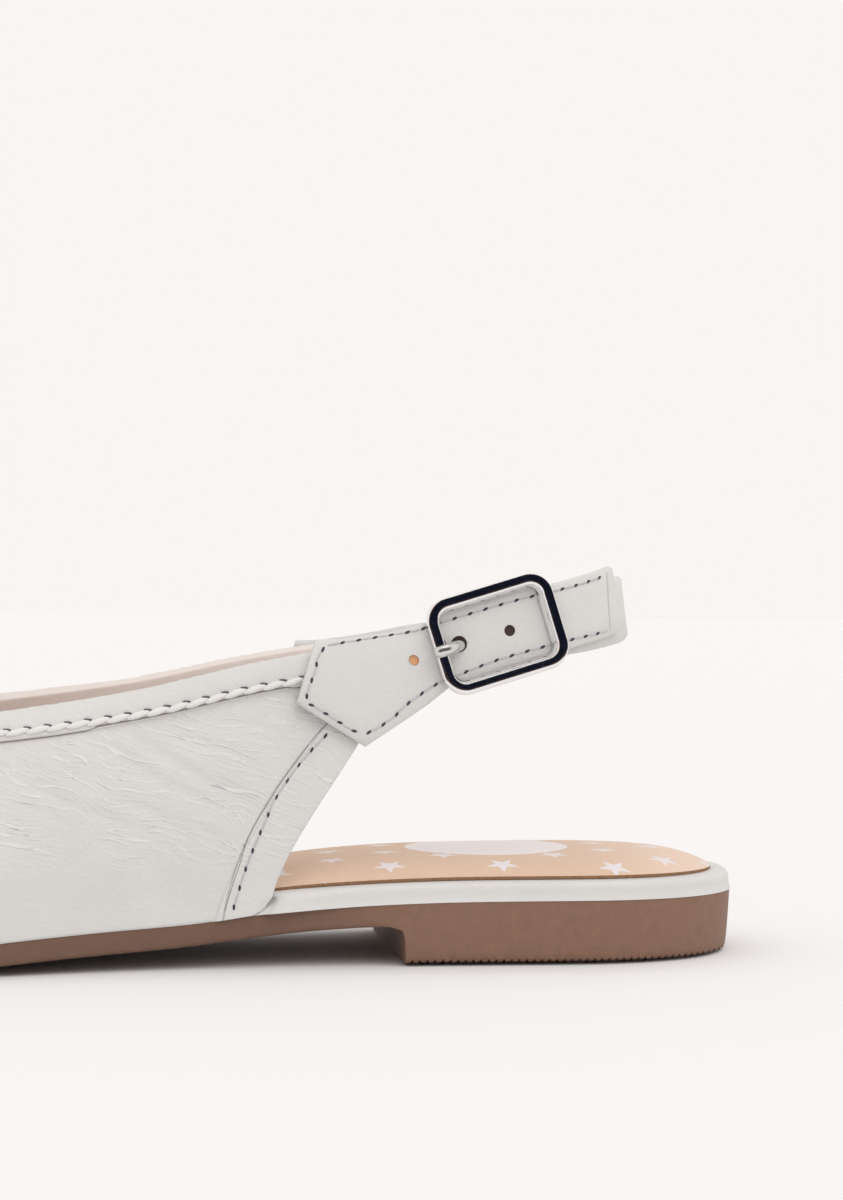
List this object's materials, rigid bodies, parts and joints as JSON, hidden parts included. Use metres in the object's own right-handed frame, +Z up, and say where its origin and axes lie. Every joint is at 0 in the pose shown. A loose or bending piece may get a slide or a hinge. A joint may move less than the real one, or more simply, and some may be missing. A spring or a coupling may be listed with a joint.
{
  "type": "slingback ballet flat",
  "caption": "Left slingback ballet flat: hollow rounded-toe upper on a low-heeled sole, domed sock, heel strap with loop, stitched strap with holes and a rounded buckle.",
  "frame": {"origin": "on the floor under the heel, 30 mm forward of the back of the heel", "axes": "+Z up, toe to -X, outer side with the buckle to -Y, inner side to +Y"},
  "size_m": [0.25, 0.079, 0.0728],
  "materials": {
    "white_leather": "smooth warm off-white leather with a soft sheen",
    "tan_leather": "matt tan lining leather",
    "sole": "matt brown moulded sole",
    "chrome": "polished bright metal"
  },
  "bodies": {
    "root": {"outsole": "sole", "insole_board": "white_leather", "sock_lining": "tan_leather", "upper": "white_leather", "billet_strap": "white_leather", "sling_strap": "white_leather", "buckle_frame": "chrome", "buckle_prong": "chrome"}
  },
  "joints": []
}
